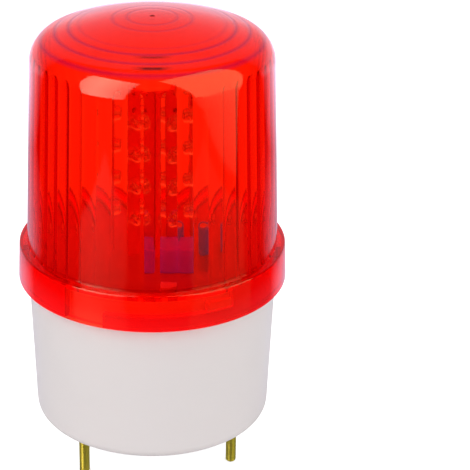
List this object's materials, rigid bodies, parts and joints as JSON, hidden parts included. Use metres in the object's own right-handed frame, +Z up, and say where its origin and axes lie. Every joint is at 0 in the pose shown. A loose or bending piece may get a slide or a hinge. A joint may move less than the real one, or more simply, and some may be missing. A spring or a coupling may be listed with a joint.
{
  "type": "flashing warning beacon",
  "caption": "Cylindrical flashing warning beacon: a ribbed red twist-lock lens over a white base cup, with an LED column on a driver board inside and threaded mounting studs below.",
  "frame": {"origin": "centre of the base's flat underside, in the mounting plane and on the axis of the lens", "axes": "+Z up along the axis of the lens, -Y to the front that the picture shows, +X to its right"},
  "size_m": [0.1, 0.1, 0.1757],
  "materials": {
    "lens_red": "clear red moulded plastic, polished",
    "base_white": "satin white moulded plastic",
    "zinc_yellow": "yellow zinc plating",
    "board_buff": "buff paper-laminate circuit board",
    "screw_steel": "plain steel",
    "led_clear": "clear epoxy",
    "film_case": "moulded plastic case",
    "can_sleeve": "dark plastic sleeve over an aluminium can",
    "chip_black": "moulded black epoxy",
    "resistor_body": "lacquered ceramic body"
  },
  "bodies": {
    "base": {"base": "base_white", "mounting_studs": "zinc_yellow", "main_board": "board_buff", "board_screws": "screw_steel", "led_board_front_right": "board_buff", "led_board_right": "board_buff", "led_board_back_right": "board_buff", "led_board_back_left": "board_buff", "led_board_left": "board_buff", "led_board_front_left": "board_buff", "leds_front_right": "led_clear", "leds_right": "led_clear", "leds_back_right": "led_clear", "leds_back_left": "led_clear", "leds_left": "led_clear", "leds_front_left": "led_clear", "film_capacitor": "film_case", "bulk_capacitor": "can_sleeve", "timing_capacitor": "can_sleeve", "rectifier": "chip_black", "controller_chip": "chip_black", "dropper_resistor": "resistor_body", "driver_transistors": "chip_black"},
    "lens": {"lens": "lens_red"}
  },
  "joints": [
    {"name": "lens_twist", "type": "hinge", "parent": "base", "child": "lens", "pos_m": [0, 0, 0.0605], "axis": [0, 0, 1], "range_deg": [0, 63]}
  ]
}
